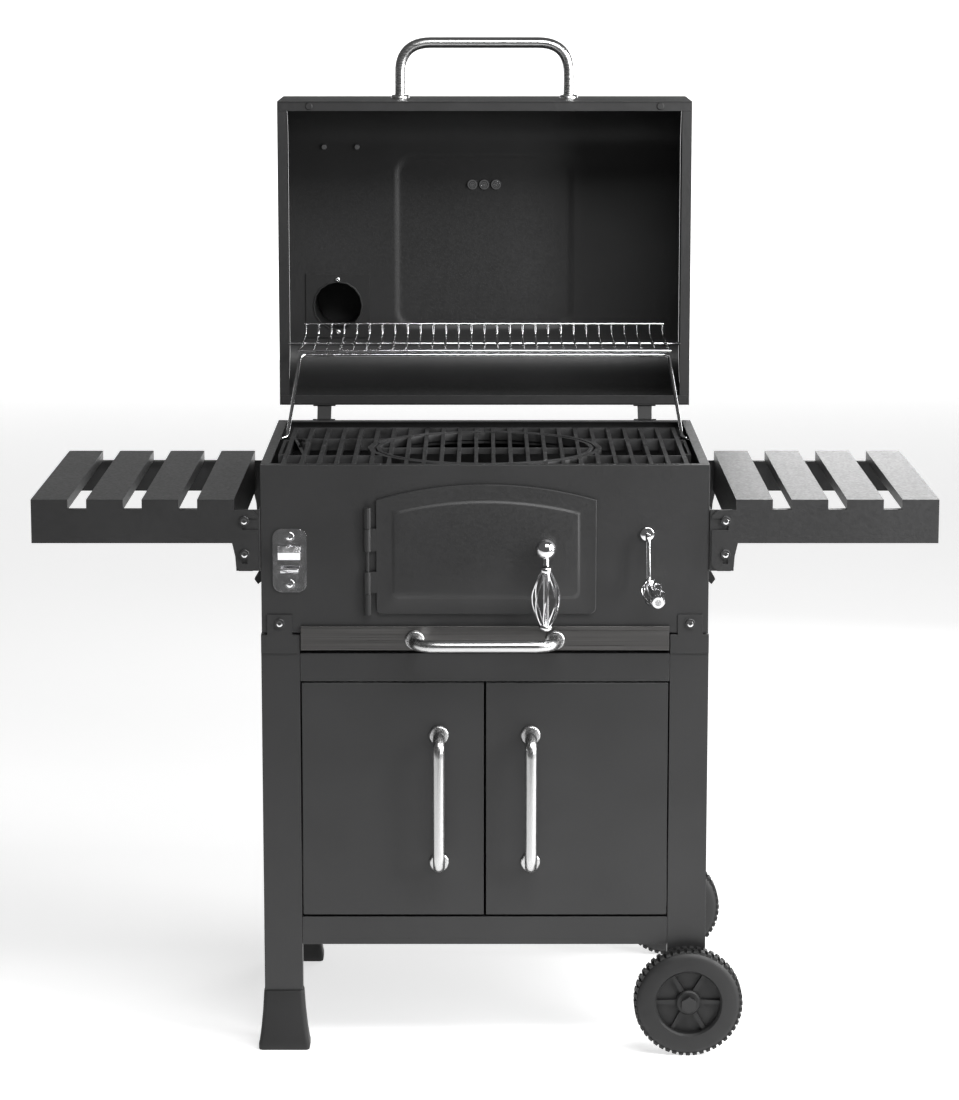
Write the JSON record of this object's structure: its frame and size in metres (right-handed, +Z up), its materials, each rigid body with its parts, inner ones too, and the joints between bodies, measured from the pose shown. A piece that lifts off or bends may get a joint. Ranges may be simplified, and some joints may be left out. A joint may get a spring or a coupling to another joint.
{
  "type": "charcoal trolley barbecue",
  "caption": "Charcoal barbecue trolley with a raised hinged lid, firebox with grates, slatted folding side tables, ash drawer, cabinet doors and wheels.",
  "frame": {"origin": "on the floor, under the middle of the object's outer box with the lid open", "axes": "+X to the user's right, +Y to the back, +Z up"},
  "size_m": [1.212, 0.9433, 1.358],
  "materials": {
    "coated_steel": "satin dark grey powder coat",
    "dark_steel": "satin black heat-proof paint",
    "cast_iron": "enamelled cast iron",
    "brushed_steel": "brushed",
    "drawer_steel": "dark brushed",
    "chrome": "bright plated",
    "zinc_steel": "zinc plated",
    "black_plastic": "moulded matte"
  },
  "bodies": {
    "cart": {"leg_front_left": "coated_steel", "leg_front_right": "coated_steel", "leg_rear_left": "coated_steel", "leg_rear_right": "coated_steel", "bottom_rail": "coated_steel", "middle_rail": "coated_steel", "cabinet_floor": "coated_steel", "cabinet_back": "coated_steel", "cabinet_side_left": "coated_steel", "cabinet_side_right": "coated_steel", "firebox_front": "coated_steel", "firebox_back": "coated_steel", "firebox_side_left": "coated_steel", "firebox_side_right": "coated_steel", "table_bracket_left": "coated_steel", "table_bracket_right": "coated_steel", "foot_front": "black_plastic", "foot_rear": "black_plastic", "axle_bolt_front": "zinc_steel", "axle_bolt_rear": "zinc_steel", "drawer_runner_left": "dark_steel", "drawer_runner_right": "dark_steel", "charcoal_hinge": "dark_steel", "hinge_bracket_left": "dark_steel", "hinge_bracket_right": "dark_steel", "bottle_opener": "chrome", "grate_left": "cast_iron", "grate_right": "cast_iron"},
    "wheel_front": {"wheel_front": "black_plastic"},
    "wheel_rear": {"wheel_rear": "black_plastic"},
    "door_left": {"door_left": "coated_steel", "door_handle_left": "brushed_steel"},
    "door_right": {"door_right": "coated_steel", "door_handle_right": "brushed_steel"},
    "ash_drawer": {"ash_drawer_front": "drawer_steel", "ash_drawer_tray": "zinc_steel", "ash_drawer_handle": "brushed_steel"},
    "charcoal_door": {"charcoal_door": "coated_steel"},
    "charcoal_latch": {"charcoal_latch": "chrome", "charcoal_latch_grip": "chrome"},
    "crank": {"crank_rod": "chrome"},
    "crank_grip": {"crank_grip": "chrome"},
    "coal_lift": {"coal_lift_frame": "zinc_steel", "coal_tray": "dark_steel"},
    "grate_insert": {"grate_insert": "cast_iron"},
    "vent_left": {"vent_lever_left": "black_plastic"},
    "vent_right": {"vent_lever_right": "black_plastic"},
    "lid": {"lid_skin": "coated_steel", "lid_end_left": "coated_steel", "lid_end_right": "coated_steel", "lid_handle": "brushed_steel", "thermometer": "brushed_steel", "chimney_pipe": "dark_steel", "hinge_leaf_left": "dark_steel", "hinge_leaf_right": "dark_steel"},
    "chimney_cap": {"chimney_cap": "dark_steel"},
    "rack_bail": {"rack_bail": "chrome"},
    "warming_rack": {"warming_rack": "chrome"},
    "side_table_left": {"side_table_left": "coated_steel"},
    "side_table_right": {"side_table_right": "coated_steel"}
  },
  "joints": [
    {"name": "lid_hinge", "type": "hinge", "parent": "cart", "child": "lid", "pos_m": [0, 0.11565, 0.8], "axis": [1, 0, 0], "range_deg": [0, 90]},
    {"name": "bail_pivot", "type": "hinge", "parent": "cart", "child": "rack_bail", "pos_m": [0, -0.02735, 0.8], "axis": [1, 0, 0], "range_deg": [0, 90]},
    {"name": "rack_pivot", "type": "hinge", "parent": "rack_bail", "child": "warming_rack", "pos_m": [0, 0.10765, 0.903], "axis": [1, 0, 0], "range_deg": [-90, 0]},
    {"name": "door_left_hinge", "type": "hinge", "parent": "cart", "child": "door_left", "pos_m": [-0.247, -0.34635, 0.3515], "axis": [0, 0, -1], "range_deg": [0, 110]},
    {"name": "door_right_hinge", "type": "hinge", "parent": "cart", "child": "door_right", "pos_m": [0.247, -0.34635, 0.3515], "axis": [0, 0, 1], "range_deg": [0, 110]},
    {"name": "ash_drawer_slide", "type": "slide", "parent": "cart", "child": "ash_drawer", "axis": [0, -1, 0], "range_m": [0, 0.3]},
    {"name": "charcoal_door_hinge", "type": "hinge", "parent": "cart", "child": "charcoal_door", "pos_m": [-0.157, -0.35235, 0.69], "axis": [0, 0, -1], "range_deg": [0, 110]},
    {"name": "charcoal_latch_turn", "type": "hinge", "parent": "charcoal_door", "child": "charcoal_latch", "pos_m": [0.081, -0.37635, 0.701], "axis": [0, 1, 0], "range_deg": [0, 90]},
    {"name": "crank_turn", "type": "hinge", "parent": "cart", "child": "crank", "pos_m": [0.217, -0.34635, 0.717], "axis": [0, 1, 0], "range_deg": [0, 360]},
    {"name": "crank_grip_spin", "type": "hinge", "parent": "crank", "child": "crank_grip", "pos_m": [0.2182, -0.38435, 0.6556], "axis": [0.0898, -0.9905, -0.1037], "continuous": true},
    {"name": "coal_lift_slide", "type": "slide", "parent": "cart", "child": "coal_lift", "axis": [0, 0, 1], "range_m": [0, 0.0629]},
    {"name": "insert_lift", "type": "slide", "parent": "cart", "child": "grate_insert", "axis": [0, 0, 1], "range_m": [0, 0.08]},
    {"name": "vent_left_turn", "type": "hinge", "parent": "cart", "child": "vent_left", "pos_m": [-0.301, -0.27635, 0.625], "axis": [1, 0, 0], "range_deg": [0, 55]},
    {"name": "vent_right_turn", "type": "hinge", "parent": "cart", "child": "vent_right", "pos_m": [0.301, -0.27635, 0.625], "axis": [1, 0, 0], "range_deg": [0, 55]},
    {"name": "chimney_cap_turn", "type": "hinge", "parent": "lid", "child": "chimney_cap", "pos_m": [-0.224, 0.46565, 0.947], "axis": [0, 1, 0], "range_deg": [0, 45]},
    {"name": "side_table_left_fold", "type": "hinge", "parent": "cart", "child": "side_table_left", "pos_m": [-0.3215, -0.12835, 0.69], "axis": [0, -1, 0], "range_deg": [0, 90]},
    {"name": "side_table_right_fold", "type": "hinge", "parent": "cart", "child": "side_table_right", "pos_m": [0.3215, -0.12835, 0.69], "axis": [0, 1, 0], "range_deg": [0, 90]},
    {"name": "wheel_front_spin", "type": "hinge", "parent": "cart", "child": "wheel_front", "pos_m": [0.277, -0.36535, 0.074], "axis": [0, 1, 0], "continuous": true},
    {"name": "wheel_rear_spin", "type": "hinge", "parent": "cart", "child": "wheel_rear", "pos_m": [0.277, 0.10865, 0.074], "axis": [0, 1, 0], "continuous": true}
  ],
  "couplings": [
    {"joint": "bail_pivot", "follows": "lid_hinge", "ratio": 1},
    {"joint": "rack_pivot", "follows": "lid_hinge", "ratio": -1},
    {"joint": "coal_lift_slide", "follows": "crank_turn", "m_per_rad": 0.01}
  ]
}
